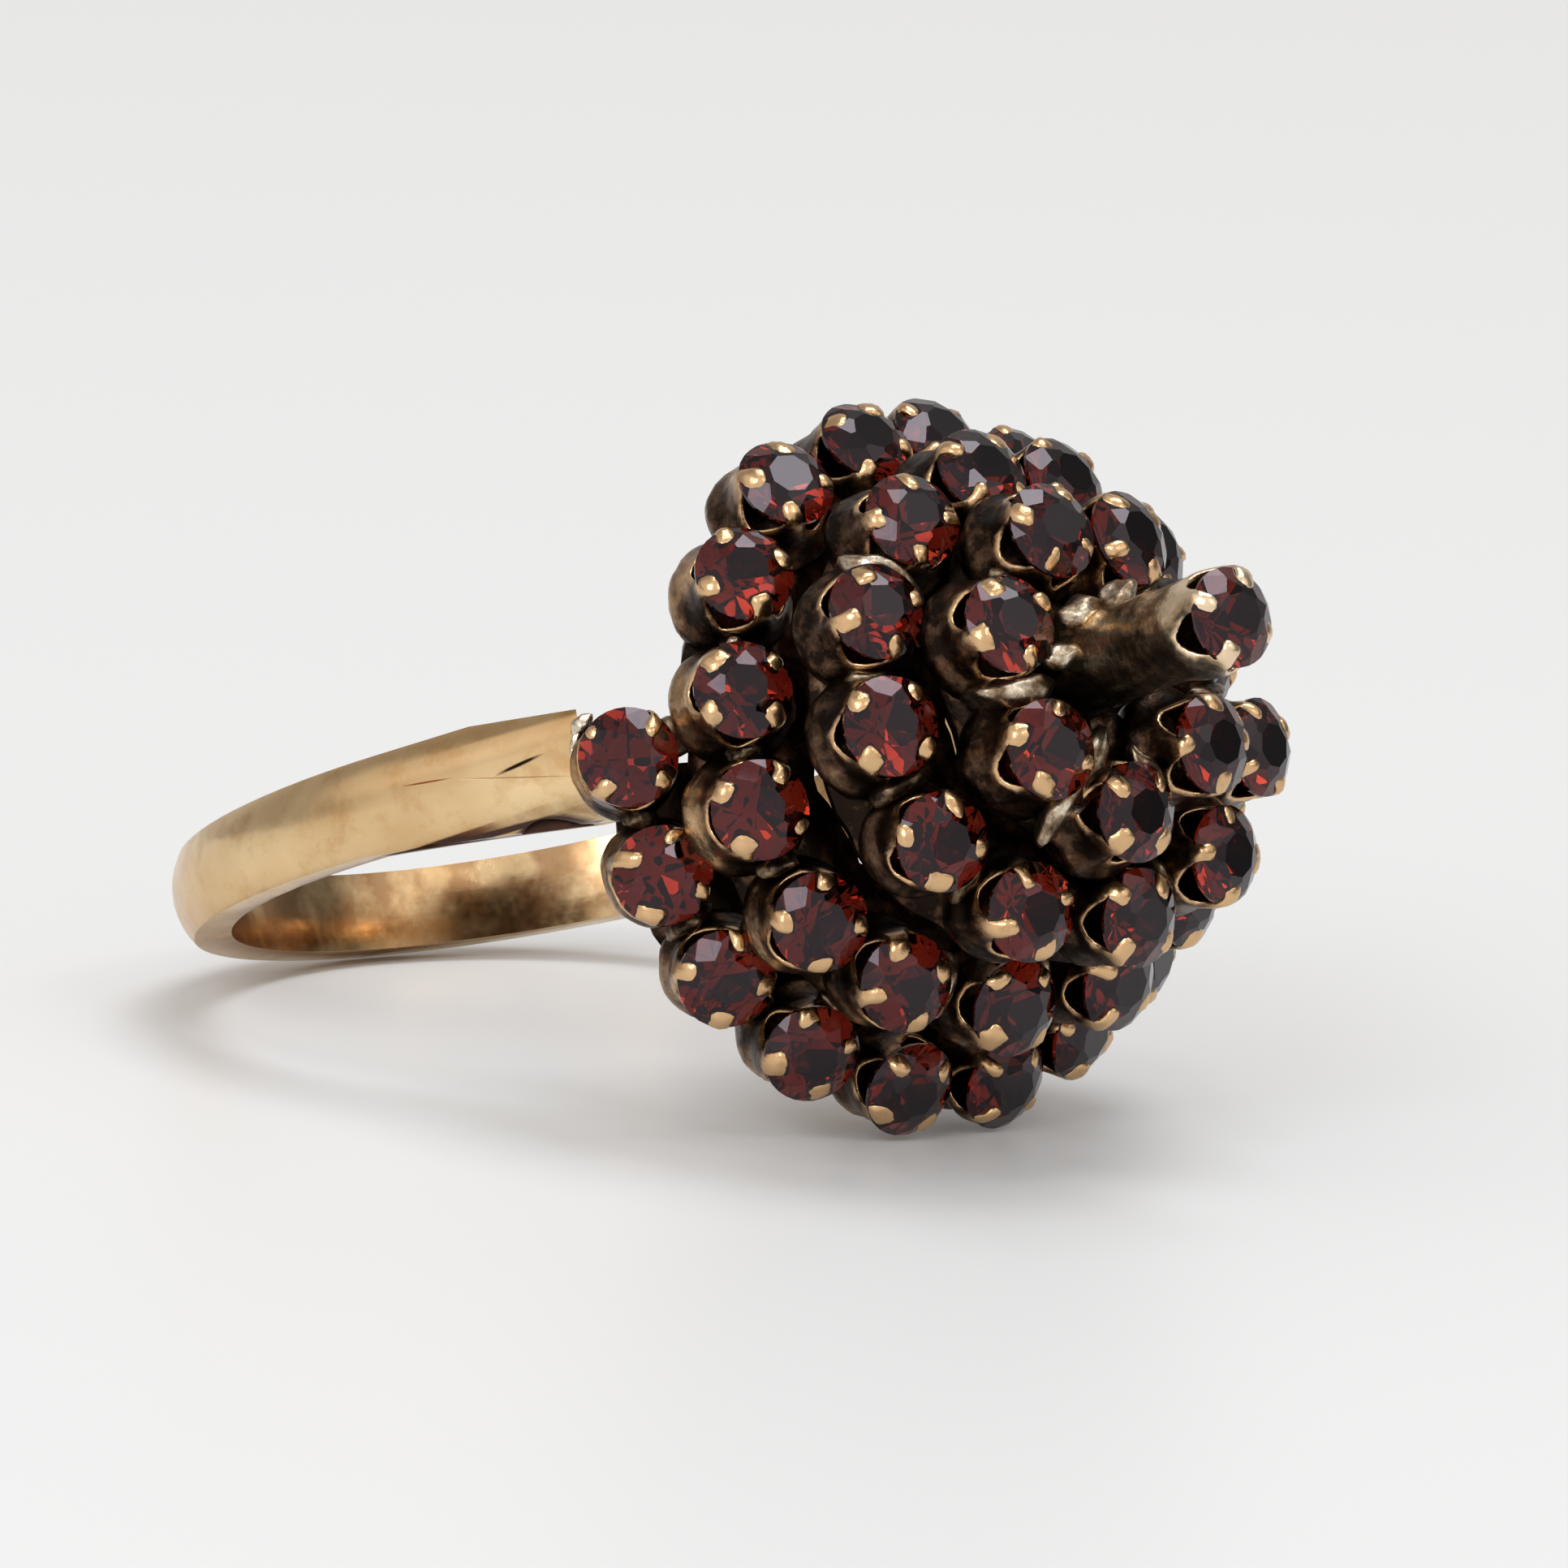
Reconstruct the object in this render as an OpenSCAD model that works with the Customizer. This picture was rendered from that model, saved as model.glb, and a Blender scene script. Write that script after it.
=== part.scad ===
// Garnet cluster ring. A tapered half-round band carries a tall domed head, made of
// 44 round stones in claw cups that wind up in one spiral, and one stone on a tube on top.
// Ring frame: the finger hole's axis is Z, and the head stands out along +X.

/* [Band] */
// Diameter of the finger hole
finger_d = 17.3; // [16.5:0.1:17.5]
// Thickness of the band in the middle of its width
band_t = 1.2; // [1.1:0.05:1.4]
// Width of the band where it meets the head
shoulder_w = 2.4; // [2.2:0.05:2.6]
// Width of the band at the back
back_w = 1.85; // [1.6:0.05:2.2]
// Radius of the half-round across the band
crown_r = 1.7; // [1.5:0.1:3]

/* [Stones and cups] */
// Diameter of a stone across its girdle
stone_d = 2.28; // [2.2:0.02:2.3]
// Height of the crown over the girdle
crown_h = 0.36; // [0.3:0.02:0.4]
// Depth of the point under the girdle
pavilion_h = 0.9; // [0.8:0.05:1]
// Radius of a cup over its lip
lip_r = 1.28; // [1.26:0.01:1.32]
// How much wider a cup is at its belly than at its lip
belly = 0.22; // [0.18:0.01:0.26]
// How far the lip is scooped out between two claws
scoop = 0.5; // [0.3:0.05:0.6]
// How far a claw stands over the girdle
claw_h = 0.44; // [0.42:0.01:0.5]

/* [Head] */
// Lean of the head along the band
head_lean = -3.7; // [-4:0.1:-3.4]
// Dip of the head to one side
head_dip = 3.6; // [3.4:0.1:3.8]
// Height of the stone on the tube over the centre of the finger hole
top_h = 22.7; // [22.4:0.1:23.2]
// Outward tilt of the cups on the rim
rim_splay = 35.5; // [34:0.5:37]

/* [Hidden] */
// Key cups of the spiral, from the shoulder to the top; those between lie on its line
PATH = [ // cup, azimuth in degrees, radius, height
    [0, -3, 8.00, 10.60],
    [3, 57, 7.95, 10.90],
    [6, 118, 7.75, 11.25],
    [10, 199, 7.60, 11.95],
    [13, 260, 7.30, 12.45],
    [16, 325, 7.05, 13.00],
    [19, 395, 6.75, 13.50],
    [22, 469, 6.35, 14.20],
    [27, 608, 5.75, 15.45],
    [30, 693, 5.45, 16.25],
    [33, 783, 5.20, 16.90],
    [36, 884, 4.65, 17.60],
    [38, 964, 4.05, 17.95],
    [40, 1050, 3.35, 18.40],
    [43, 1220, 2.45, 19.10]
];
// Cups that were soldered a little out of line
STRAY = [ // cup, along the spiral, up the dome
    [6, -0.19, 0.22],
    [13, 0.22, 0.13],
    [14, -0.16, 0.11],
    [15, -0.10, -0.15],
    [17, 0.00, 0.25],
    [19, 0.10, -0.15],
    [20, -0.30, -0.05],
    [21, -0.15, 0.05],
    [22, 0.20, -0.10],
    [27, 0.15, 0.00],
    [31, -0.10, 0.15],
    [35, 0.10, -0.15],
    [36, 0.00, -0.25],
    [37, -0.15, 0.00],
    [38, 0.29, 0.25],
    [39, -0.17, -0.21],
    [41, -0.02, 0.22],
    [42, -0.17, -0.12],
    [43, 0.10, 0.10]
];
// How deep a cup's stem reaches under its stone
STEM = [ // cup, depth
    [0, 2.3],
    [17, 2.6],
    [30, 3.2],
    [43, 3.4],
    [44, 6.5]
];
TOP = 44;
// Outside of the tube under the top stone, over its foot: height from the girdle, radius
TUBE = [[-4.2, 1.2], [-2.4, 0.92], [-0.35, 1.3]];
tube_foot_r = 1.3;
// Windows in a shoulder: angle from the head, half their length in degrees, outer edge
WINDOWS = [[65.5, 8.5, 9.35], [46.8, 5.2, 9.9]];

hole_r = finger_d / 2;
band_r = hole_r + band_t;
stone_r = stone_d / 2;

// A cup: its sides, the heights of lip and belly, its claws, and the slim first cup
SIDES = 12;
lip_z = -0.4;
belly_z = -1.1;
stem_r = 0.72;
claw_reach = 0.9;
claw_out = 0.1;
claw_half = 12;
nub_half = 13;
slim_r = 1.24;
slim_belly = 0.08;

// A stone's seat in its cup, and how much wider it is than the stone
SEAT_SIDES = 8;
seat_gap = 0.16;
seat_floor = 0.15;
seat_rise = 0.14;
bore_r = stone_r + seat_gap;
seat_deep = pavilion_h + seat_floor;
seat_mouth = 0.7;

// A stone's girdle and table
girdle = 0.04;
table_r = 0.58 * stone_r;

// Where the head and its top stone stand
top_splay = 5.5;
top_at = [0.18, -0.82];
top_turn = 20;
head_pivot = hole_r + 0.35;
head_shift = [0.41, -1.14];

// The shoulders: where they rise and end, their inner rail, and the room for the cups
rise_from = 70;
near_end = 38;
far_end = 33;
rail_r = hole_r + 0.22;
wall_gap = 0.13;
foot_gap = 0.08;
seat_r = 1.42;
room_taper = 0.9;
notch_x = 0.95;
// Where the lower side starts to spread out, and where the upper one starts to fall
spread_from = 2.2;
spread_z = 1.08;
spread = 6.4;
fall_from = 6;
fall_z = 1.07;
fall = 7.4;

// The ring lies on two cups of the rim and the back edge of the band
rest_roll = -2.763;
rest_pitch = -24.979;
rest_at = [-6.404, 0, 4.906];

function stone_name(i) = str("stone_", i < 9 ? "0" : "", i + 1);
function column(rows, n) = [for (row = rows) [row[0], row[n]]];
function stray(i, n) = let (hit = [for (row = STRAY) if (row[0] == i) row[n]])
    len(hit) > 0 ? hit[0] : 0;
function azimuth(i) = lookup(i, column(PATH, 1));
function radius(i) = lookup(i, column(PATH, 2));
function height(i) = lookup(i, column(PATH, 3));
function splay(i) = top_splay
    + (rim_splay - top_splay) * pow(radius(i) / radius(0), 2.2);

// From the ring frame to the ring lying on a table
module lying()
    translate(rest_at)
        rotate([rest_roll, rest_pitch, 0])
            children();

// The head's own frame: Z is its axis, and azimuth 0 faces the shoulder with the first cup
module on_head()
    translate([head_pivot, head_shift[0], head_shift[1]])
        rotate([0, head_dip, head_lean])
            rotate([-90, 0, -90])
                translate([0, 0, -head_pivot])
                    children();

// A cup's frame: Z is the stone's axis with 0 at the girdle, X points down the dome
module at_cup(i) {
    if (i == TOP)
        translate([top_at[0], top_at[1], top_h])
            rotate([0, 0, top_turn])
                children();
    else
        translate([radius(i) * cos(azimuth(i)), radius(i) * sin(azimuth(i)), height(i)])
            rotate([0, splay(i), azimuth(i)])
                translate([-stray(i, 2), stray(i, 1), 0])
                    children();
}

// A turned solid through level rings, each [height, radius], closed at both ends
module turned(rings) {
    last = len(rings) - 1;
    corners = [for (ring = rings) for (k = [0:SIDES - 1]) corner(ring, k)];
    walls = side_faces(last);
    ends = [[for (k = [0:SIDES - 1]) k],
        [for (k = [SIDES - 1:-1:0]) last * SIDES + k]];
    polyhedron(corners, concat(walls, ends));
}

// A cup's outside: rings up to the scooped lip, and four claws that lean in over the stone
module claw_cup(rings) {
    last = len(rings) - 1;
    lip = last * SIDES;
    mouth = rings[last][1];
    tip = lip + SIDES;
    middle = tip + 16;
    corners = [for (j = [0:last]) for (k = [0:SIDES - 1])
        let (root = j == last && k % 3 == 1 ? 1 : 0)
            corner([rings[j][0] + root * scoop, rings[j][1] + root * claw_out], k)];
    tips = [for (q = [0:3]) for (t = [[-claw_half, mouth], [claw_half, mouth],
            [-nub_half, claw_reach], [nub_half, claw_reach]])
        let (a = 45 + 90 * q + t[0])
            [t[1] * cos(a), t[1] * sin(a), claw_h]];
    claws = [for (q = [0:3])
        let (a = lip + 3 * q, b = a + 1, c = a + 2, n = lip + (3 * q + 3) % SIDES,
            t = tip + 4 * q, u = t + 1, v = t + 2, w = t + 3)
        for (tri = [[a, t, b], [b, t, u], [b, u, c], [t, v, w], [t, w, u], [a, v, t], [c, u, w],
            [a, middle, v], [v, middle, w], [w, middle, c], [c, middle, n]]) tri];
    polyhedron(concat(corners, tips, [[0, 0, rings[last][0]]]),
        concat(side_faces(last), claws, [[for (k = [0:SIDES - 1]) k]]));
}

function corner(ring, k) = let (a = (k + 0.5) * 360 / SIDES)
    [ring[1] * cos(a), ring[1] * sin(a), ring[0]];
function side_faces(last) = [for (j = [0:last - 1]) for (k = [0:SIDES - 1])
    let (a = j * SIDES + k, b = j * SIDES + (k + 1) % SIDES)
    for (tri = [[a, a + SIDES, b + SIDES], [a, b + SIDES, b]]) tri];

module cup_body(i) {
    depth = lookup(i, STEM);
    r = i == 0 ? slim_r : lip_r;
    if (i == TOP)
        claw_cup(concat([[-depth, tube_foot_r]], TUBE));
    else
        claw_cup([[-depth, stem_r], [belly_z, r + (i == 0 ? slim_belly : belly)], [lip_z, r]]);
}

// The seat cut for a stone, a little wider than its pavilion and crown
module cup_seat()
    rotate([0, 0, 180 / SEAT_SIDES])
        hull() {
            translate([0, 0, -seat_deep])
                cylinder(h = seat_deep, r1 = 0, r2 = bore_r, $fn = SEAT_SIDES);
            cylinder(h = crown_h + seat_rise, r1 = bore_r, r2 = seat_mouth, $fn = SEAT_SIDES);
        }

module head() {
    color("darkgoldenrod")
        lying() on_head()
            difference() {
                for (i = [0:TOP])
                    at_cup(i) cup_body(i);
                for (i = [0:TOP])
                    at_cup(i) cup_seat();
            }
}

// A round garnet: table, eight crown sectors, girdle and a pointed pavilion
module stone(i) {
    table = [for (k = [0:7]) [table_r * cos(45 * k), table_r * sin(45 * k), crown_h]];
    upper = [for (k = [0:15]) [stone_r * cos(22.5 * k), stone_r * sin(22.5 * k), girdle]];
    lower = [for (p = upper) [p[0], p[1], -girdle]];
    point = [[0, 0, -pavilion_h]];
    crown = [for (k = [0:7])
        let (t = k, u = (k + 1) % 8, a = 8 + 2 * k, b = a + 1, c = 8 + (2 * k + 2) % 16)
        for (tri = [[t, u, b], [t, b, a], [u, c, b]]) tri];
    band = [for (k = [0:15])
        let (a = 8 + k, b = 8 + (k + 1) % 16)
        for (tri = [[a, b, b + 16], [a, b + 16, a + 16]]) tri];
    pavilion = [for (k = [0:15]) [24 + k, 24 + (k + 1) % 16, 40]];
    color("darkred")
        lying() on_head() at_cup(i)
            polyhedron(concat(table, upper, lower, point),
                concat([[7, 6, 5, 4, 3, 2, 1, 0]], crown, band, pavilion));
}

// A lens-shaped window through the shoulder, over the inner rail
module lens(angle, half, low, high) {
    chord = low * cos(half);
    r = (pow(low, 2) - 2 * chord * high + pow(high, 2)) / (2 * (high - chord));
    rotate([0, 0, -angle])
        difference() {
            translate([high - r, 0, -3]) cylinder(h = 6, r = r, $fn = 48);
            translate([0, 0, -4]) cylinder(h = 8, r = low, $fn = 120);
        }
}

// The straight run from the hoop up to the head, round in section like the hoop itself
module shoulder_run()
    rotate([0, 0, -rise_from])
        translate([band_r - crown_r, 0, 0])
            rotate([-90, 0, 0])
                cylinder(h = 8, r = crown_r, $fn = 96);

// The room a cup needs in a shoulder: its stem, its tapering side and its lip
module cup_room(i, r) {
    foot = lookup(i, STEM) + foot_gap;
    at_cup(i) {
        translate([0, 0, -foot])
            cylinder(h = foot, r = stem_r + wall_gap, $fn = 48);
        translate([0, 0, -foot])
            cylinder(h = foot - room_taper, r1 = stem_r + wall_gap, r2 = r, $fn = 48);
        translate([0, 0, -room_taper])
            cylinder(h = 3, r = r, $fn = 48);
    }
}

module shank() {
    upper_taper = atan((shoulder_w - back_w) / 2 / (2 * band_r));
    color("goldenrod")
        lying() difference() {
            union() {
                rotate([0, 0, rise_from])
                    rotate_extrude(angle = 360 - 2 * rise_from, $fn = 120)
                        translate([band_r - crown_r, 0])
                            circle(r = crown_r, $fn = 96);
                shoulder_run();
                mirror([0, 1, 0])
                    shoulder_run();
            }
            translate([0, 0, -4])
                cylinder(h = 8, r = hole_r, $fn = 120);
            // The upper side tapers evenly, the lower one spreads out at the shoulders
            translate([-band_r, -15, back_w / 2])
                rotate([0, -upper_taper, 0])
                    cube([30, 30, 3]);
            translate([fall_from, -15, fall_z])
                rotate([0, fall, 0])
                    translate([-10, 0, 0])
                        cube([30, 30, 3]);
            intersection() {
                translate([-band_r, -15, -back_w / 2])
                    rotate([0, upper_taper, 0])
                        translate([0, 0, -3])
                            cube([30, 30, 3]);
                translate([spread_from, -15, -spread_z])
                    rotate([0, spread, 0])
                        translate([-15, 0, -3])
                            cube([30, 30, 3]);
            }
            // Open under the head, and pierced over a thin inner rail
            intersection() {
                rotate([0, 0, -near_end])
                    translate([0, 0, -4])
                        cube([20, 20, 8]);
                rotate([0, 0, far_end - 90])
                    translate([0, 0, -4])
                        cube([20, 20, 8]);
            }
            for (side = [0, 1])
                mirror([0, side, 0])
                    for (w = WINDOWS)
                        lens(w[0], w[1], rail_r, w[2]);
            // Seats for the cups that the shoulders carry
            on_head() {
                cup_room(0, seat_r);
                at_cup(0)
                    translate([-4, -4, -6])
                        cube([4 + notch_x, 4, 9]);
                for (i = [8:10])
                    cup_room(i, lip_r + belly + wall_gap);
            }
        }
}

shank();
head();
for (i = [0:TOP])
    stone(i);
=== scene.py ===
# A garnet cluster ring lying on a pale table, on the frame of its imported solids.
# The sections follow the goldsmith's work: band, claw cups, coil, top tube, solder and stones.
# Then come the table, the light and the camera.
import math
import random
import bmesh
import bpy
from mathutils import Euler, Matrix, Vector, noise


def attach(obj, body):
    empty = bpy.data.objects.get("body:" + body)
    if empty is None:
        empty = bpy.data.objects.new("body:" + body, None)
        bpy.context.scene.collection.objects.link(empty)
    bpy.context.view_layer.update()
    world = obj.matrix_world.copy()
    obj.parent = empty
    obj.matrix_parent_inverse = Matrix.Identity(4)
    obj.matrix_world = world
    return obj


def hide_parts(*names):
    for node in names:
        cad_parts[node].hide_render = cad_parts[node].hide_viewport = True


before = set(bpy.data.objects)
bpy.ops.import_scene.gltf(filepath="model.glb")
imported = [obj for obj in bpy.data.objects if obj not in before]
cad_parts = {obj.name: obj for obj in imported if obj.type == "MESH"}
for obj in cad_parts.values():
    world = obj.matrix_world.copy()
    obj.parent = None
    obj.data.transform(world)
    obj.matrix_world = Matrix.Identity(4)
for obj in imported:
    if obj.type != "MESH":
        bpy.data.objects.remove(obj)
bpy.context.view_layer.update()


# The band
# One half-round gold band, cast and filed, that tapers to the back. Years of wear have rounded its
# edges. Each shoulder is pierced with two lens-shaped windows over a thin inner rail.
# The ring's sizes and places are given in millimetres, and this brings them to metres
MM = 0.001
# The finger hole leans, because the ring lies on two cups of its rim and on the back edge of the
# band: X points from the hole's middle to the head, and Z runs along the finger
HOLE_MIDDLE, HOLE_ROLL, HOLE_PITCH = Vector((-6.404, 0, 4.906)), -2.763, -24.979
FINGER_HOLE = Matrix.LocRotScale(
    HOLE_MIDDLE * MM, Euler((math.radians(HOLE_ROLL), math.radians(HOLE_PITCH), 0)), None)
# The windows' inner faces: from and to in degrees from the head, and near and far from the axis
WINDOWS = ((56.5, 74.5, 8.8, 9.36), (41, 52.5, 8.8, 9.92))
# Nearer to the axis than this is the inside of the hoop
INSIDE_OF_HOOP = 8.72
# How far the film has covered each
FILM_IN_WINDOWS, FILM_INSIDE = 1.0, 0.45
# Fine marks run round the hoop: how often they change in a metre along it, and across it
MARKS_ALONG, MARKS_ACROSS = 110, 5200
# Scratches on the near shoulder: start, end, half the width, and their dirt's colour
SCRATCHES = (
    ((-0.90, -8.22, 7.67), (0.27, -7.73, 8.40), 0.06, (0.02, 0.012, 0.008)),
    ((-3.16, -9.05, 7.09), (-1.82, -8.55, 7.51), 0.03, (0.32, 0.09, 0.04)),
    ((-1.82, -8.55, 7.48), (0.97, -7.44, 7.96), 0.025, (0.42, 0.25, 0.10)))
RUDDY_SPECKS = (0.52, 0.27, 0.085)
BROWN_FILM = (0.30, 0.13, 0.05)
BLACK_DIRT = (0.065, 0.034, 0.024)


def new_finish(name):
    """A material, its node tree, its shader, and the Object coordinates that its patterns follow"""
    finish = bpy.data.materials.new(name)
    finish.use_nodes = True
    tree = finish.node_tree
    place = tree.nodes.new("ShaderNodeTexCoord").outputs["Object"]
    return finish, tree, tree.nodes["Principled BSDF"], place


def clouds(tree, place, scale, detail, roughness=0.5):
    """A cloudy pattern, as a value from 0 to 1"""
    pattern = tree.nodes.new("ShaderNodeTexNoise")
    pattern.inputs["Scale"].default_value = scale
    pattern.inputs["Detail"].default_value = detail
    pattern.inputs["Roughness"].default_value = roughness
    tree.links.new(place, pattern.inputs["Vector"])
    return pattern.outputs["Fac"]


def noted(tree, name):
    """What the piece's mesh has noted under this name, spot by spot"""
    note = tree.nodes.new("ShaderNodeAttribute")
    note.attribute_name = name
    return note.outputs["Fac"]


def stretched(tree, value, low, high, to_low=0.0, to_high=1.0):
    """A value between low and high, brought to lie between two others and held there"""
    ranged = tree.nodes.new("ShaderNodeMapRange")
    ranged.inputs["From Min"].default_value = low
    ranged.inputs["From Max"].default_value = high
    ranged.inputs["To Min"].default_value = to_low
    ranged.inputs["To Max"].default_value = to_high
    tree.links.new(value, ranged.inputs["Value"])
    return ranged.outputs["Result"]


def worked_out(tree, operation, *terms):
    """A sum, product or the like of two or three terms, each a wire or a plain number"""
    step = tree.nodes.new("ShaderNodeMath")
    step.operation = operation
    for socket, term in zip(step.inputs, terms):
        if isinstance(term, bpy.types.NodeSocket):
            tree.links.new(term, socket)
        else:
            socket.default_value = term
    return step.outputs["Value"]


def toned(tree, value, *stops):
    """A colour read from a value: each stop is where on the value's way it is full, and its colour"""
    tones = tree.nodes.new("ShaderNodeValToRGB")
    ramp = tones.color_ramp
    for k, (spot, colour) in enumerate(stops):
        if k < 2:
            ramp.elements[k].position = spot
            ramp.elements[k].color = (*colour, 1)
        else:
            ramp.elements.new(spot).color = (*colour, 1)
    tree.links.new(value, tones.inputs["Fac"])
    return tones.outputs["Color"]


def raised(tree, metal, height, strength):
    """Gives a surface the fine relief of a height pattern"""
    relief = tree.nodes.new("ShaderNodeBump")
    relief.inputs["Strength"].default_value = strength
    relief.inputs["Distance"].default_value = 0.05 * MM
    tree.links.new(height, relief.inputs["Height"])
    tree.links.new(relief.outputs["Normal"], metal.inputs["Normal"])


def scored(tree, place, start, end, half_width):
    """How deep a spot lies in a scratch: 1 on its line, 0 beside it"""
    start, end = Vector(start) * MM, Vector(end) * MM
    reach_of_depth = half_width * 5 * MM
    along = tree.nodes.new("ShaderNodeMapping")
    along.vector_type = "TEXTURE"
    along.inputs["Location"].default_value = (start + end) / 2
    along.inputs["Rotation"].default_value = (end - start).to_track_quat("X", "Z").to_euler()
    along.inputs["Scale"].default_value = ((end - start).length / 2, reach_of_depth, half_width * MM)
    tree.links.new(place, along.inputs["Vector"])
    away = tree.nodes.new("ShaderNodeVectorMath")
    away.operation = "LENGTH"
    tree.links.new(along.outputs["Vector"], away.inputs[0])
    return stretched(tree, away.outputs["Value"], 1.0, 0.5)


def worn_gold(name, deep, light, marks, dullest):
    """Polished gold alloy, cloudy in its colour, with stains, scratches and fine marks round the hoop"""
    gold, tree, metal, place = new_finish(name)
    metal.inputs["Metallic"].default_value = 1.0
    film = noted(tree, "film")
    patchy = stretched(tree, clouds(tree, place, scale=600, detail=7), 0.46, 0.56, 0.15, 1.4)
    brown = worked_out(tree, "MULTIPLY", film, patchy)
    brown.node.use_clamp = True
    cuts = [scored(tree, place, *scratch[:3]) for scratch in SCRATCHES]
    specks = clouds(tree, place, scale=1100, detail=6, roughness=0.68)
    stains = [
        (stretched(tree, specks, 0.5, 0.72, 0, 0.6), RUDDY_SPECKS),
        (brown, BROWN_FILM),
        (stretched(tree, film, 0.55, 0.85), BLACK_DIRT)]
    stains += [(cut, scratch[3]) for cut, scratch in zip(cuts, SCRATCHES)]
    colour = toned(tree, clouds(tree, place, scale=240, detail=4), (0.34, deep), (0.62, light))
    for share, stain in stains:
        mix = tree.nodes.new("ShaderNodeMix")
        mix.data_type = "RGBA"
        factor, under, over = mix.inputs["Factor"], mix.inputs[6], mix.inputs[7]
        over.default_value = (*stain, 1)
        tree.links.new(share, factor)
        tree.links.new(colour, under)
        colour = mix.outputs[2]
    tree.links.new(colour, metal.inputs["Base Color"])
    rubbing = clouds(tree, place, scale=900, detail=6, roughness=0.7)
    tree.links.new(stretched(tree, rubbing, 0.35, 0.75, 0.13, dullest), metal.inputs["Roughness"])
    round_hoop = tree.nodes.new("ShaderNodeMapping")
    round_hoop.vector_type = "TEXTURE"
    round_hoop.inputs["Rotation"].default_value = FINGER_HOLE.to_euler()
    round_hoop.inputs["Scale"].default_value = (1 / MARKS_ALONG, 1 / MARKS_ALONG, 1 / MARKS_ACROSS)
    tree.links.new(place, round_hoop.inputs["Vector"])
    lines = clouds(tree, round_hoop.outputs["Vector"], scale=1, detail=3)
    dents = clouds(tree, place, scale=420, detail=5)
    height = worked_out(tree, "MULTIPLY_ADD", lines, marks, dents)
    for cut in cuts:
        height = worked_out(tree, "SUBTRACT", height, cut)
    raised(tree, metal, height, strength=0.35)
    return gold


def unselect_all():
    """Back to object mode with nothing selected"""
    if bpy.context.mode != "OBJECT":
        bpy.ops.object.mode_set(mode="OBJECT")
    bpy.ops.object.select_all(action="DESELECT")


def take(piece):
    """Selects one piece alone, as what the next operators work on"""
    unselect_all()
    piece.select_set(True)
    bpy.context.view_layer.objects.active = piece


def apply_modifiers(piece):
    """Turns a piece's modifiers into its mesh, in their order"""
    take(piece)
    for modifier in list(piece.modifiers):
        bpy.ops.object.modifier_apply(modifier=modifier.name)


def copy_of(piece, name):
    """A copy with a mesh of its own"""
    other = bpy.data.objects.new(name, piece.data.copy())
    other.data.name = name
    bpy.context.scene.collection.objects.link(other)
    return other


band = copy_of(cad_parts["shank"], "band")
take(band)
bpy.ops.mesh.customdata_custom_splitnormals_clear()
bpy.ops.object.mode_set(mode="EDIT")
bpy.ops.mesh.select_all(action="SELECT")
bpy.ops.mesh.remove_doubles(threshold=0.001 * MM)
bpy.ops.mesh.tris_convert_to_quads(face_threshold=math.radians(4), shape_threshold=math.radians(40))
bpy.ops.object.mode_set(mode="OBJECT")
edges = band.modifiers.new("worn edges", "BEVEL")
edges.width = 0.07 * MM
edges.segments = 3
edges.limit_method = "ANGLE"
edges.angle_limit = math.radians(28)
edges.use_clamp_overlap = True
edges.harden_normals = False
apply_modifiers(band)
bpy.ops.object.shade_smooth_by_angle(angle=math.radians(40))
film = band.data.attributes.new("film", "FLOAT", "POINT")
into_hoop = FINGER_HOLE.inverted()
for spot, corner in zip(film.data, band.data.vertices):
    x, y, z = into_hoop @ corner.co / MM
    out, turn = math.hypot(x, y), abs(math.degrees(math.atan2(y, x)))
    if any(low < turn < high and near < out < far for low, high, near, far in WINDOWS):
        spot.value = FILM_IN_WINDOWS
    elif out < INSIDE_OF_HOOP:
        spot.value = FILM_INSIDE
band.data.materials.clear()
band.data.materials.append(worn_gold(
    "band gold", deep=(0.62, 0.39, 0.18), light=(0.785, 0.58, 0.325), marks=0.12, dullest=0.34))
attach(band, "root")
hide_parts("shank")


# Their insides are painted lighter than their sides: painted light against the shade under the stones.
# The claw cups
# Each stone sits in a small gold cup, pressed from sheet and drawn in to a stem. Its lip is scooped
# out between four claws, which are bent over the stone and rubbed to flat nubs. The cups are soldered
# into a rising coil, and their sides have gone dark where no polish reaches.
# The dome stands out along the finger hole's X, but dips to one side and leans along the band
HEAD_DIP, HEAD_LEAN = 3.6, -3.7
DOME = FINGER_HOLE.to_3x3() @ Euler((0, math.radians(HEAD_DIP), math.radians(HEAD_LEAN))).to_matrix()
# The way from the hollow of the dome to its top
DOME_AXIS = DOME @ Vector((1, 0, 0))
# The stones' numbers, from the near shoulder up the dome, turn by turn, and the one on the tube
RIM, MIDDLE, INNER = range(1, 19), range(19, 33), range(33, 45)
TOP_STONE = 45
# Between which two of its claws the top stone's X points, as it has no slope to point down
TOP_TURN = math.radians(20)
TOP_SIDE = DOME @ Vector((0, -math.cos(TOP_TURN), -math.sin(TOP_TURN)))
# How deep the solids' stones reach from girdle to point
POINT_DEPTH = 0.9
# The lip before it is shaped: its upper and lower edge under the girdle, and the sheet's thickness
LIP_TOP, LIP_FOOT, SHEET = -0.72, -0.92, 0.16
LIP_MIDDLE = (LIP_TOP + LIP_FOOT) / 2
# The lip rises to each claw in a curve: how far to both sides, in degrees, and by how much
LIP_CURVE = ((34, 0.20), (20, 0.36), (8, 0.10))
# The claw starts on the lip above this height, and this far to both sides of its middle
CLAW_FOOT, CLAW_HALF = -0.3, 20
# The claw is bent in steps: inward, up, and how much wider it becomes
CLAW_BENDS = ((0.02, 0.2, 0.86), (0.13, 0.15, 0.98), (0.20, 0.08, 1.16), (0.20, 0.0, 0.84))
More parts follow.
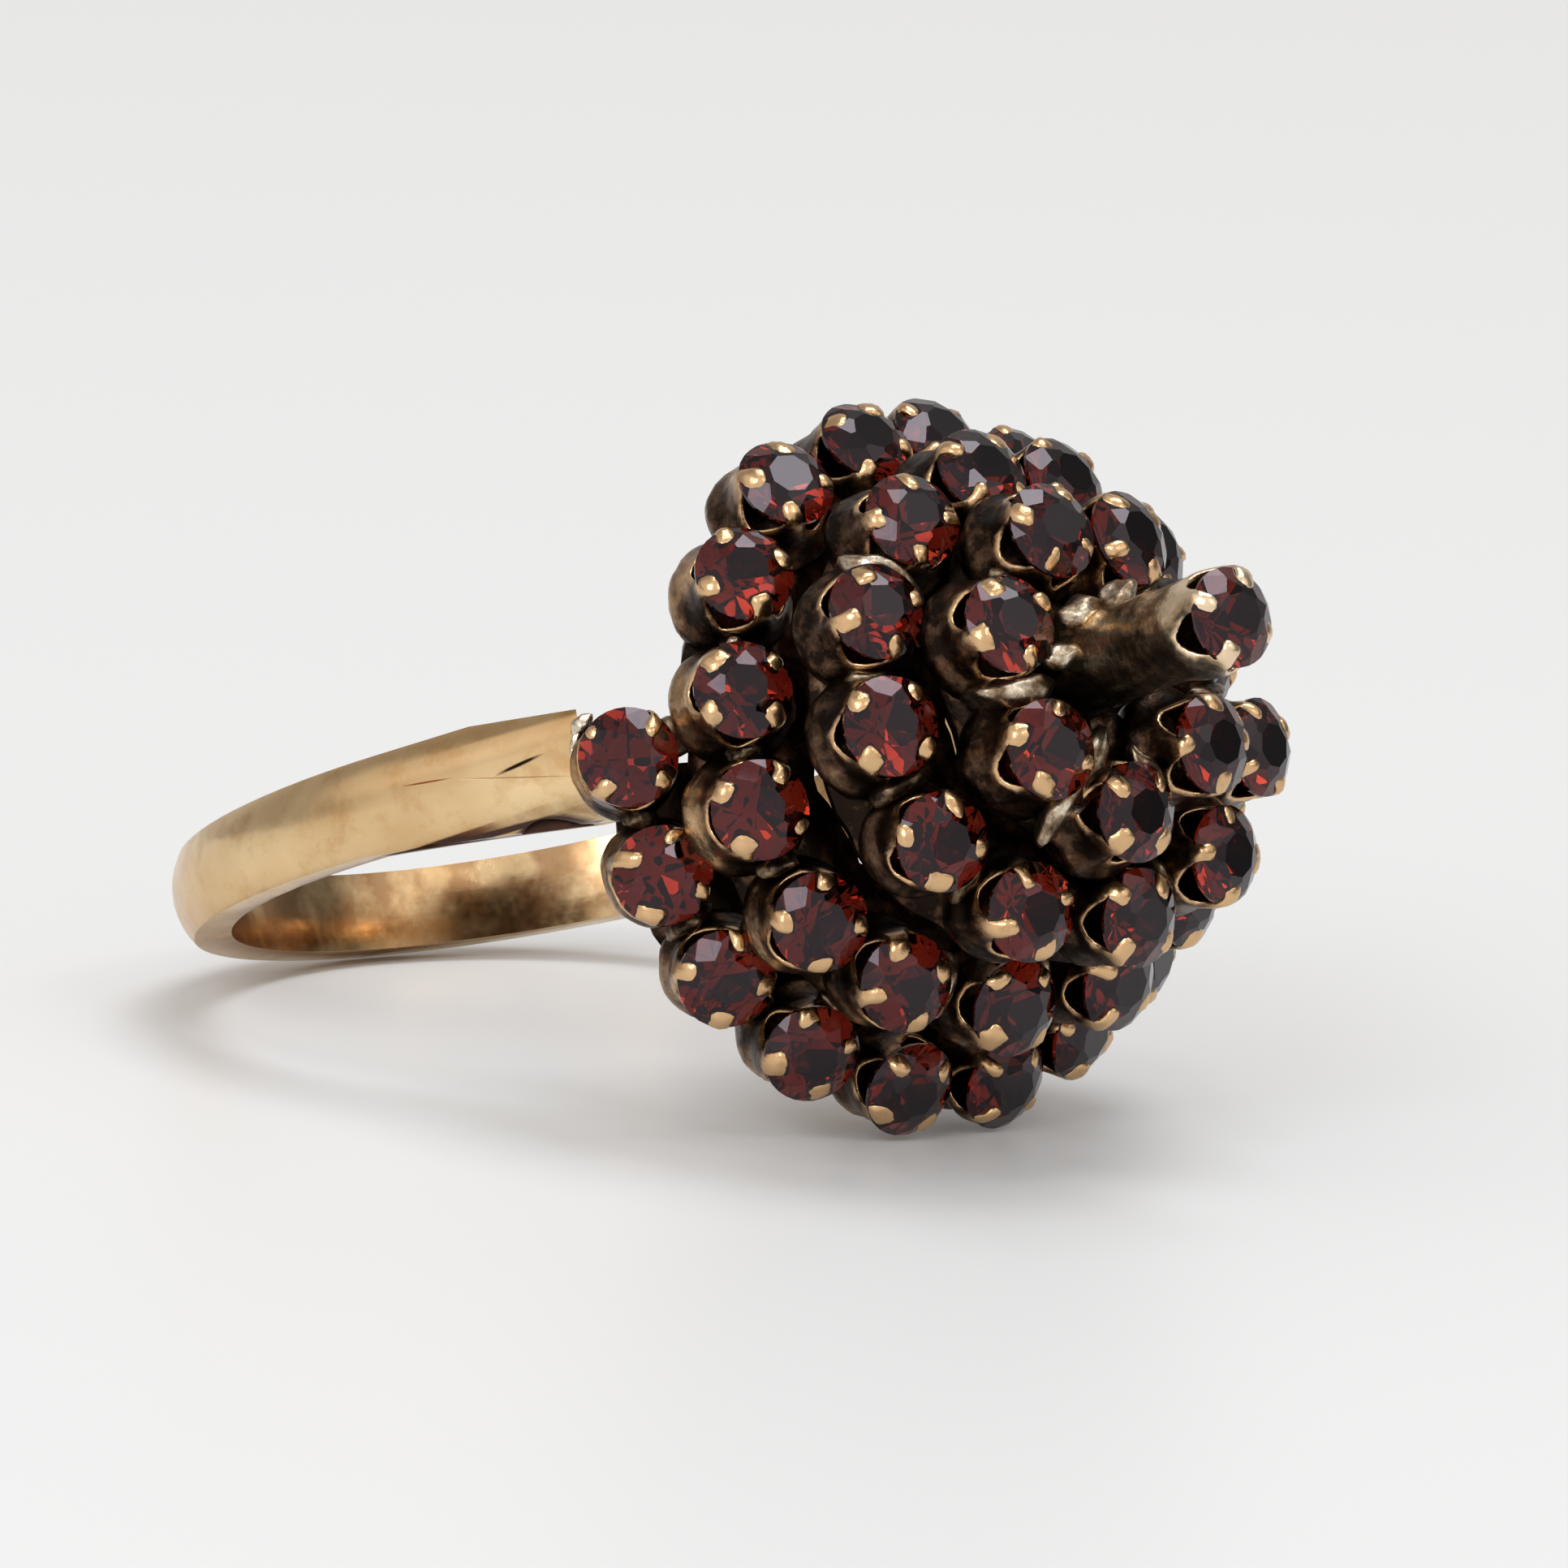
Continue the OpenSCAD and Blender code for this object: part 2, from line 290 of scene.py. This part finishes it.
# Cups that were filed slimmer under the lip, and by how much of their width
SLIM = dict.fromkeys((*range(3, 9), 21, 22, 23, 33, 34, 35), 0.12)
SLIM.update({1: 0.15, 2: 0.13, 20: 0.07, 24: 0.07})
# Cups whose outer side still shines, and those of them that shine well
SHINING = range(1, 27)
SHINING_WELL = (*range(1, 6), *range(17, 27))
# How bright the lip and the side of a cup are rubbed, and how bright its inside is painted light against
# the shade under the stone, where a claw is fully bright
RUBBED_LIP, PAINTED_LIGHT_INSIDE, RUBBED_SIDE = 0.85, 0.7, 0.08


def cup_gold(name, grime, dull, pale, bright):
    """Bright gold on claws and lips, which darkens down the side to old brown grime, with painted light
    where the mesh notes it
    """
    gold, tree, metal, place = new_finish(name)
    metal.inputs["Metallic"].default_value = 1.0
    cloud = clouds(tree, place, scale=1400, detail=6, roughness=0.65)
    patches = worked_out(tree, "MULTIPLY_ADD", cloud, 1.7, -0.3)
    # The mesh's note holds real rubbing and painted light together: the cups' lighter insides and the
    # tube's bright upper side
    worn = worked_out(tree, "DIVIDE", worked_out(tree, "ADD", patches, noted(tree, "wear_and_painted_light")), 1.5)
    colour = toned(tree, worn, (0.38, grime), (0.56, dull), (0.75, pale), (0.95, bright))
    tree.links.new(colour, metal.inputs["Base Color"])
    tree.links.new(stretched(tree, worn, 0.3, 1.0, 0.36, 0.25), metal.inputs["Roughness"])
    raised(tree, metal, clouds(tree, place, scale=2600, detail=5), strength=0.8)
    return gold


def pick(piece, wanted):
    """Selects the vertices, and what they bound, whose place in millimetres is wanted"""
    bpy.ops.mesh.select_all(action="DESELECT")
    mesh = bmesh.from_edit_mesh(piece.data)
    for corner in mesh.verts:
        if wanted(corner.co / MM):
            corner.select = True
    mesh.select_flush(True)
    bmesh.update_edit_mesh(piece.data)


def pull_ring(down, across):
    """Draws the open edge that is selected further down, and makes it wider or narrower"""
    bpy.ops.mesh.extrude_region_move(TRANSFORM_OT_translate={"value": (0, 0, -down * MM)})
    bpy.ops.transform.resize(value=(across, across, 1), center_override=(0, 0, 0))


def press_cup(name, lip, walls):
    """A cup of sheet gold round the Z axis: girdle at the origin, scooped lip, four claws, closed foot"""
    unselect_all()
    bpy.ops.mesh.primitive_cylinder_add(
        vertices=24, radius=lip * MM, depth=(LIP_TOP - LIP_FOOT) * MM, end_fill_type="NOTHING",
        location=(0, 0, LIP_MIDDLE * MM))
    cup = bpy.context.object
    cup.name = cup.data.name = name
    bpy.ops.object.transform_apply(location=True)
    bpy.ops.object.mode_set(mode="EDIT")
    bpy.ops.mesh.select_mode(type="VERT")
    pick(cup, lambda p: p.z < LIP_MIDDLE)
    depth, radius = LIP_FOOT, lip
    for z, r in walls:
        pull_ring(depth - z, r / radius)
        depth, radius = z, r
    bpy.ops.mesh.edge_face_add()
    for claw in (45, 135, 225, 315):
        facing = Vector((math.cos(math.radians(claw)), math.sin(math.radians(claw))))

        def beside(p, half):
            return Vector((p.x, p.y)).normalized().dot(facing) > math.cos(math.radians(half))

        for half, lift in LIP_CURVE:
            pick(cup, lambda p: p.z > LIP_MIDDLE and beside(p, half))
            bpy.ops.transform.translate(value=(0, 0, lift * MM))
        pick(cup, lambda p: p.z > CLAW_FOOT and beside(p, CLAW_HALF))
        for inward, up, width in CLAW_BENDS:
            move = (-facing.x * inward * MM, -facing.y * inward * MM, up * MM)
            bpy.ops.mesh.extrude_region_move(TRANSFORM_OT_translate={"value": move})
            tip = [corner.co for corner in bmesh.from_edit_mesh(cup.data).verts if corner.select]
            middle = sum(tip, Vector()) / len(tip)
            bpy.ops.transform.resize(value=(width, width, 1), center_override=middle)
    bpy.ops.mesh.select_all(action="SELECT")
    bpy.ops.mesh.normals_make_consistent(inside=False)
    bpy.ops.object.mode_set(mode="OBJECT")
    sheet = cup.modifiers.new("sheet", "SOLIDIFY")
    sheet.thickness = SHEET * MM
    sheet.offset = -1
    rounding = cup.modifiers.new("rounding", "SUBSURF")
    rounding.levels = rounding.render_levels = 1
    apply_modifiers(cup)
    bpy.ops.object.shade_smooth()
    return cup


def rub_and_paint_light(cup):
    """Notes how far each spot is rubbed bright, the claws fully, the lip as a fine line, the side hardly,
    and paints the inside lighter as painted light in the stone's shade
    """
    wear_and_painted_light = cup.data.attributes.new("wear_and_painted_light", "FLOAT", "POINT")
    sectors, inner_radius = 48, 1.06
    lip_edge, lip_line = 0.05, 0.16
    claw_begins, claw_bright = -0.35, 0.10
    tops = [-9.0] * sectors

    def sector(place):
        return int(math.degrees(math.atan2(place.y, place.x)) % 360 // (360 / sectors))

    for corner in cup.data.vertices:
        tops[sector(corner.co)] = max(tops[sector(corner.co)], corner.co.z / MM)
    for spot, corner in zip(wear_and_painted_light.data, cup.data.vertices):
        z = corner.co.z / MM
        lip = RUBBED_LIP * (1 - (tops[sector(corner.co)] - z - lip_edge) / lip_line)
        claw = (z - claw_begins) / (claw_bright - claw_begins)
        # The inside, shaded by the stone, is painted lighter: painted light
        inside = Vector((corner.co.x, corner.co.y)).length / MM < inner_radius
        spot.value = min(max(lip, claw, PAINTED_LIGHT_INSIDE if inside else RUBBED_SIDE), 1.0)


def seat(number):
    """A stone's place, read from its solid: Z is its axis, 0 its girdle, and X points down the dome"""
    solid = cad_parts["stone_%02d" % number].data
    corners = [Vector(c) for c in {tuple(round(v, 7) for v in corner.co) for corner in solid.vertices}]
    point = min(corners, key=lambda c: max((c - other).length for other in corners))
    axis = (sum(corners, Vector()) / len(corners) - point).normalized()
    girdle = point + axis * POINT_DEPTH * MM
    down = TOP_SIDE if number == TOP_STONE else (axis * DOME_AXIS.dot(axis) - DOME_AXIS).normalized()
    side = axis.cross(down)
    return Matrix((
        (down.x, side.x, axis.x, girdle.x),
        (down.y, side.y, axis.y, girdle.y),
        (down.z, side.z, axis.z, girdle.z),
        (0, 0, 0, 1)))


def unevenness(place, grain, depth, own=(0, 0, 0)):
    """How uneven work pushes a spot: how close the dents lie, how deep they are, and a piece's own shift"""
    at = place * grain + Vector(own)
    apart = ((0, 0, 0), (31.4, 0, 0), (0, 47.1, 0))
    return Vector([noise.noise(at + Vector(shift)) for shift in apart]) * depth


def set_cup(number):
    """One cup in its place, a little out of round, with its claws bent as the setter left them"""
    cup = copy_of(pressed, "cup_%02d" % number)
    reach = [hand.uniform(-0.10, 0.12) for claw in range(4)]
    skew = [hand.uniform(-10, 10) for claw in range(4)]
    wide = [hand.uniform(0.75, 1.25) * (1.15 if claw in (0, 3) else 0.95) for claw in range(4)]
    claw_height, rise = 0.35, 0.65
    slim_from, slim_over = -0.55, 0.5
    for corner in cup.data.vertices:
        x, y, z = corner.co / MM
        around = math.degrees(math.atan2(y, x)) % 360
        claw = int(around // 90)
        if z > 0.0:
            share = min(z / claw_height, 1.0)
            off = around - 45 - 90 * claw
            turn = math.radians(skew[claw] * share + off * (wide[claw] - 1))
            grow = 1 - reach[claw] * share
            turned_x = x * math.cos(turn) - y * math.sin(turn)
            turned_y = x * math.sin(turn) + y * math.cos(turn)
            x, y, z = turned_x * grow, turned_y * grow, z + rise * reach[claw] * share
        slim = 1 - SLIM.get(number, 0) * min(max((slim_from - z) / slim_over, 0.0), 1.0)
        spot = Vector((x * slim, y * slim, z))
        dent = unevenness(spot, grain=1.1, depth=0.075, own=(number * 3.7, 0, 0))
        fine = unevenness(spot, grain=3.1, depth=0.035, own=(0, number * 5.1, 0))
        corner.co = (spot + dent + fine) * MM
    if number in SHINING:
        side_begins, side_over, stem = 0.7, 0.5, -1.9
        polish = hand.uniform(0.35, 0.7) if number in SHINING_WELL else hand.uniform(0.0, 0.3)
        for spot, corner in zip(cup.data.attributes["wear_and_painted_light"].data, cup.data.vertices):
            outer = (corner.co.x / MM - side_begins) / side_over
            if stem < corner.co.z / MM < 0 and outer > 0:
                spot.value = min(spot.value + polish * min(outer, 1.0), 1.0)
    cup.data.transform(seat(number) @ Matrix.Rotation(math.radians(hand.uniform(-4, 4)), 4, "Z"))
    return cup


def solder_together(pieces, name):
    """Joins pieces of the head into one, which rides with the ring"""
    unselect_all()
    for piece in pieces:
        piece.select_set(True)
    bpy.context.view_layer.objects.active = pieces[0]
    bpy.ops.object.join()
    joined = bpy.context.object
    joined.name = joined.data.name = name
    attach(joined, "root")
    return joined


# All that the hand does by chance is drawn from here
hand = random.Random(7)
cup_finish = cup_gold(
    "cup gold", grime=(0.016, 0.010, 0.007), dull=(0.115, 0.064, 0.038),
    pale=(0.37, 0.235, 0.13), bright=(0.64, 0.41, 0.215))
pressed = press_cup(
    "pressed cup", lip=1.19, walls=((-1.2, 1.42), (-1.45, 1.5), (-1.85, 1.36), (-2.4, 0.98), (-3.0, 0.7)))
rub_and_paint_light(pressed)
pressed.data.materials.append(cup_finish)
rim_turn = solder_together([set_cup(n) for n in RIM], "rim_cups")
middle_turn = solder_together([set_cup(n) for n in MIDDLE], "middle_cups")
inner_turn = solder_together([set_cup(n) for n in INNER], "inner_cups")
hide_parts("head")
bpy.data.objects.remove(pressed)


# The coil
# Under the cups runs a flat strip of gold that winds up the dome with them. The cups' stems are
# soldered to it, and it is dark with age, so that little of the table shows between the turns.
def flat_strip(name, stops, narrow, broad, broad_after, half_thick, inward, outward):
    """A bar drawn out straight, one millimetre a ring, then wound along the cups' places and broadened"""
    sides, steps = 8, 6
    unselect_all()
    bpy.ops.mesh.primitive_cylinder_add(
        vertices=sides, radius=1 * MM, depth=1 * MM, end_fill_type="NGON", location=(0, 0, 0.5 * MM))
    strip = bpy.context.object
    strip.name = strip.data.name = name
    bpy.ops.object.transform_apply(location=True)
    bpy.ops.object.mode_set(mode="EDIT")
    bpy.ops.mesh.select_mode(type="VERT")
    pick(strip, lambda p: p.z > 0.5)
    for ring in range(steps * (len(stops) - 1) - 2):
        bpy.ops.mesh.extrude_region_move(TRANSFORM_OT_translate={"value": (0, 0, 1 * MM)})
    bpy.ops.object.mode_set(mode="OBJECT")
    for corner in strip.data.vertices:
        ring = round(corner.co.z / MM)
        before, after, share = stops[ring // steps], stops[ring // steps + 1], ring % steps / steps
        along = before.translation.lerp(after.translation, share)
        axis = before.col[2].to_3d().lerp(after.col[2].to_3d(), share).normalized()
        down = before.col[0].to_3d().lerp(after.col[0].to_3d(), share).normalized()
        middle = along - axis * inward * MM
        half_width = narrow + (broad - narrow) * min(ring / steps / broad_after, 1.0)
        turn = math.atan2(corner.co.y, corner.co.x) + math.pi / sides
        spot = down * math.cos(turn) * half_width + axis * math.sin(turn) * half_thick - down * outward
        spot += unevenness(middle / MM + spot, grain=0.9, depth=0.22)
        corner.co = middle + spot * MM
    bpy.ops.object.mode_set(mode="EDIT")
    bpy.ops.mesh.select_all(action="SELECT")
    bpy.ops.mesh.normals_make_consistent(inside=False)
    bpy.ops.object.mode_set(mode="OBJECT")
    bpy.ops.object.shade_smooth()
    return strip


coil = flat_strip(
    "coil", [seat(n) for n in (*RIM, *MIDDLE, *INNER)], narrow=1.1, broad=1.72, broad_after=24,
    half_thick=0.3, inward=1.85, outward=0.45)
coil.data.materials.append(cup_finish)
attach(coil, "root")


# The top tube
# The last stone stands over the others on a drawn tube, which flares at its foot, where it is
# soldered to the coil, and again to the claws. Its upper side is painted bright: a painted highlight.
tube = press_cup(
    "top_tube", lip=1.22,
    walls=((-1.25, 1.2), (-1.8, 1.1), (-2.6, 1.06), (-3.6, 1.12), (-4.8, 1.28), (-6.0, 1.4)))
rub_and_paint_light(tube)
tube.data.materials.append(cup_gold(
    "tube gold", grime=(0.035, 0.027, 0.018), dull=(0.13, 0.10, 0.068),
    pale=(0.42, 0.29, 0.17), bright=(0.80, 0.62, 0.42)))
for corner in tube.data.vertices:
    at = corner.co / MM
    corner.co += (unevenness(at, grain=0.9, depth=0.10) + unevenness(at, grain=2.3, depth=0.05)) * MM
tube.data.transform(seat(TOP_STONE))
# The upper side, where light falls from above, is painted bright: a painted highlight, kept in the same
# note as the rubbing of claws and lip
least_painted_highlight, most_painted_highlight = 0.12, 0.9
for spot, corner in zip(tube.data.attributes["wear_and_painted_light"].data, tube.data.vertices):
    lit_from_above = corner.normal.z * 0.8 - corner.normal.y * 0.25 + 0.6 * noise.noise(corner.co / MM * 1.4)
    side = min(max((lit_from_above - 0.15) * 1.8, least_painted_highlight), most_painted_highlight)
    spot.value = max(spot.value, side)
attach(tube, "root")


# The solder
# Where cup meets cup, and turn meets turn, lie drops of hard solder that were never filed away. They
# are greyer than the gold, frosty on top and black underneath.
# After these cups lies a heap, and how much bigger than a common drop it is
HEAPS, HEAP_SIZE = (21, 30, 41, 42), 1.6
# At the rim the drops are shorter, as the cups there stand clear of one another
RIM_LENGTH = 0.6
# Cups of two turns are joined where they are this many cups apart or more, and nearer than this
NEXT_TURN, TURN_GAP = 12, 3.3
# How bright heaps and collar, and the seam, have been filed
FILED, FILED_SEAM = 0.1, 0.16
# The seam round the first cup, along the cut end of the band, and the thickness of its beads
SEAM_TOP_BEAD, SEAM_BEAD = 0.22, 0.10
SEAM = (
    (0.98, -7.18, 9.32), (0.95, -7.42, 8.95), (0.92, -7.50, 8.60), (1.00, -7.46, 8.20),
    (1.08, -7.36, 7.85), (1.15, -7.18, 7.58), (1.15, -6.88, 7.25), (1.10, -6.50, 7.00))
# The collar round the foot of the top stone's tube, on its upper side, as the tube stands
COLLAR = ((-0.5, -1.15, -3.7), (0.4, -1.2, -4.1), (-1.0, -0.6, -4.2), (1.1, -0.5, -4.4))
COLLAR_DROP = (0.55, 0.35, 0.45)


def dull_solder():
    """Greyish alloy, dull and pitted, with dark flux left in its hollows"""
    alloy, tree, metal, place = new_finish("dull solder")
    metal.inputs["Metallic"].default_value = 1.0
    crust = clouds(tree, place, scale=1300, detail=6, roughness=0.7)
    clean = worked_out(tree, "ADD", crust, noted(tree, "filed"))
    colour = toned(
        tree, clean, (0.42, (0.030, 0.020, 0.013)), (0.56, (0.24, 0.165, 0.10)), (0.72, (0.72, 0.63, 0.50)))
    tree.links.new(colour, metal.inputs["Base Color"])
    tree.links.new(stretched(tree, clean, 0.35, 0.7, 0.45, 0.24), metal.inputs["Roughness"])
    raised(tree, metal, crust, strength=0.5)
    return alloy


def drop(between, size, stir, filed=0.0):
    """A drop of solder at a place given as a matrix, a lump with a shape of its own"""
    lump = copy_of(bead, "drop")
    for corner in lump.data.vertices:
        at = corner.co / MM
        bulge = 1 + 0.4 * noise.noise(at * 1.1 + Vector((stir, 0, 0)))
        bulge += 0.1 * noise.noise(at * 2.6 + Vector((0, stir, 0)))
        corner.co = Vector((at.x * size[0], at.y * size[1], at.z * size[2])) * bulge * MM
    lump.data.transform(between)
    note = lump.data.attributes.new("filed", "FLOAT", "POINT")
    note.data.foreach_set("value", [filed] * len(note.data))
    return lump


def sunk(place, depth):
    """The same place, deeper between the cups"""
    place.translation -= place.col[2].to_3d().normalized() * depth * MM
    return place


unselect_all()
bpy.ops.mesh.primitive_ico_sphere_add(subdivisions=3, radius=1 * MM)
bead = bpy.context.object
bead.name = bead.data.name = "bead"
drops = []
seats = {n: seat(n) for n in range(1, TOP_STONE + 1)}
for number in range(1, INNER[-1]):
    here, there = seats[number], seats[number + 1]
    between = sunk(here.lerp(there, 0.5), hand.uniform(0.8, 1.1))
    heap = HEAP_SIZE if number in HEAPS else 1
    length = hand.uniform(0.5, 0.95) * (RIM_LENGTH if number in RIM else heap)
    size = (length, 0.28 * heap, hand.uniform(0.35, 0.5) * heap)
    drops.append(drop(between, size, number * 2.3, FILED if number in HEAPS else 0.0))
    for other in range(number + NEXT_TURN, TOP_STONE):
        gap = (seats[other].translation - here.translation).length / MM
        if gap < TURN_GAP:
            between = sunk(here.lerp(seats[other], hand.uniform(0.42, 0.58)), hand.uniform(1.1, 1.6))
            drops.append(drop(between, (hand.uniform(0.3, 0.5), hand.uniform(0.3, 0.6), 0.4), other * 1.7))
for k, (start, end) in enumerate(zip(SEAM, SEAM[1:])):
    start, end = Vector(start) * MM, Vector(end) * MM
    along = (end - start).to_track_quat("X", "Z").to_matrix().to_4x4()
    along.translation = (start + end) / 2
    thick = SEAM_TOP_BEAD if k == 0 else SEAM_BEAD
    length = max((end - start).length / MM * 0.65, thick)
    drops.append(drop(along, (length, thick, thick), start.z * 900, FILED_SEAM))
for spot in COLLAR:
    between = seats[TOP_STONE] @ Matrix.Translation(Vector(spot) * MM)
    drops.append(drop(between, COLLAR_DROP, spot[0] * 7, FILED))
for lump in drops:
    lump.data.shade_smooth()
solder = solder_together(drops, "solder")
solder.data.materials.append(dull_solder())
bpy.data.objects.remove(bead)


# The stones
# Round garnets of 2.3 mm, cut by hand in the old brilliant way: a table, eight stars, eight bezels
# and sixteen halves on the crown, and eight mains with their halves on the pavilion. Each is held
# by the four claws of its cup, and sits a little turned and askew.
GIRDLE_RADIUS = 1.14
# Rows of facets: how many, the first one's angle, their slope and their distance from the girdle's middle
FACETS = (
    (1, 0, 0, 0.42),
    (8, 0, 33.7, 0.6658),
    (8, 22.5, 22, 0.570),
    (16, 11.25, 41, 0.7705),
    (8, 0, 141, 0.7485),
    (16, 11.25, 138.5, 0.778))


def garnet(name):
    """Deep red, nearly black where it is thick, with a glassy polish"""
    stone, tree, glass, place = new_finish(name)
    glass.inputs["Roughness"].default_value = 0.02
    glass.inputs["IOR"].default_value = 1.77
    glass.inputs["Transmission Weight"].default_value = 1.0
    glass.inputs["Specular Tint"].default_value = (0.44, 0.38, 0.42, 1)
    silk = clouds(tree, place, scale=330, detail=4)
    colour = toned(tree, silk, (0.35, (0.035, 0.002, 0.002)), (0.7, (0.15, 0.011, 0.003)))
    tree.links.new(colour, glass.inputs["Base Color"])
    return stone


def grind(count, first, slope, distance):
    """Grinds one row of facets: planes at equal steps round the axis, each leaning by slope degrees"""
    lean = math.radians(slope)
    for k in range(count):
        around = math.radians(first + k * 360 / count)
        facing = Vector((
            math.cos(around) * math.sin(lean), math.sin(around) * math.sin(lean), math.cos(lean)))
        bpy.ops.mesh.select_all(action="SELECT")
        bpy.ops.mesh.bisect(
            plane_co=facing * distance * MM, plane_no=facing, use_fill=True, clear_outer=True,
            threshold=0.00001 * MM)


unselect_all()
bpy.ops.mesh.primitive_cylinder_add(
    vertices=32, radius=GIRDLE_RADIUS * MM, depth=2.0 * MM, end_fill_type="NGON")
rough = bpy.context.object
rough.name = rough.data.name = "cut garnet"
bpy.ops.object.mode_set(mode="EDIT")
for row in FACETS:
    grind(*row)
bpy.ops.object.mode_set(mode="OBJECT")
bpy.ops.object.shade_flat()
rough.data.materials.append(garnet("garnet"))
for number in range(1, TOP_STONE + 1):
    stone = copy_of(rough, "garnet_%02d" % number)
    turn = Matrix.Rotation(math.radians(hand.uniform(0, 45)), 4, "Z")
    lean = Matrix.Rotation(math.radians(hand.uniform(-2.5, 2.5)), 4, "X")
    stone.data.transform(seat(number) @ lean @ turn)
    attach(stone, "root")
    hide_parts("stone_%02d" % number)
bpy.data.objects.remove(rough)


# The table
# The ring lies on a plain pale sheet with a slight sheen. The sheet is flat and wide enough to fill
# the picture, and is no part of the ring.
unselect_all()
bpy.ops.mesh.primitive_plane_add(size=2.4, location=(0, 0, -0.02 * MM))
table = bpy.context.object
table.name = table.data.name = "table"
paper = bpy.data.materials.new("pale sheet")
paper.use_nodes = True
face = paper.node_tree.nodes["Principled BSDF"]
face.inputs["Base Color"].default_value = (0.80, 0.80, 0.80, 1)
face.inputs["Roughness"].default_value = 0.42
table.data.materials.append(paper)


# The light
# A tent of white cloth that glows evenly, with a few brighter and darker places which the gold
# mirrors. A wide soft lamp stands over the ring, and three smaller ones put sparks on stones and claws.
TENT_GLOW = 0.41
# Where the tent is brighter or darker: direction, how near to it the change begins and is full, how much
TENT_PLACES = (
    ((0.62, -0.76, 0.20), 0.10, 0.85, 0.55),
    ((-0.70, 0.69, 0.18), 0.50, 0.95, 0.20),
    ((-0.45, -0.68, 0.57), 0.90, 0.985, 0.35),
    ((0.73, 0.35, 0.59), 0.88, 0.98, 0.8),
    ((0.48, 0.80, 0.35), 0.75, 0.95, -0.24))
# The lamps: place and width in metres, and power in watts
LAMPS = {
    "overhead": ((0.05, 0.30, 1.1), 0.52, 4.8),
    "spark left": ((0.215, -0.475, 0.32), 0.24, 0.9),
    "spark right": ((0.45, -0.05, 0.39), 0.08, 0.15),
    "spark above": ((0.07, -0.12, 0.57), 0.08, 0.15)}
RING_MIDDLE = Vector((0, 0, 0.006))

tent = bpy.data.worlds.new("tent")
bpy.context.scene.world = tent
tent.use_nodes = True
tree = tent.node_tree
cloth = tree.nodes["Background"]
cloth.inputs["Color"].default_value = (1, 0.97, 0.945, 1)
around = tree.nodes.new("ShaderNodeTexCoord").outputs["Generated"]
strength = TENT_GLOW
for towards, begins, full, change in TENT_PLACES:
    near = tree.nodes.new("ShaderNodeVectorMath")
    near.operation = "DOT_PRODUCT"
    near.inputs[1].default_value = towards
    tree.links.new(around, near.inputs[0])
    patch = stretched(tree, near.outputs["Value"], begins, full, 0, change)
    patch.node.interpolation_type = "SMOOTHSTEP"
    strength = worked_out(tree, "ADD", strength, patch)
tree.links.new(strength, cloth.inputs["Strength"])
bpy.context.scene.view_settings.view_transform = "Standard"
for name, (place, width, power) in LAMPS.items():
    lamp = bpy.data.lights.new(name, "AREA")
    lamp.color = (0.965, 1, 1.03)
    lamp.shape = "RECTANGLE"
    lamp.size = lamp.size_y = width
    lamp.energy = power
    holder = bpy.data.objects.new(name, lamp)
    holder.location = place
    holder.rotation_euler = (RING_MIDDLE - Vector(place)).to_track_quat("-Z", "Y").to_euler()
    bpy.context.scene.collection.objects.link(holder)


# The camera
# A long lens at the photograph's angle, a little above the table and in front of the head. It stands
# far off, so that the ring hardly narrows to the back.
lens = bpy.data.cameras.new("camera")
lens.lens = 268.5
lens.sensor_width = 36
lens.clip_start = 0.02
lens.clip_end = 10
camera = bpy.data.objects.new("camera", lens)
camera_turn = Euler([math.radians(angle) for angle in (79.4354, -3.7702, 45.907)])
camera.matrix_world = Matrix.LocRotScale(Vector((189.417, -187.851, 56.635)) * MM, camera_turn, None)
bpy.context.scene.collection.objects.link(camera)
bpy.context.scene.camera = camera
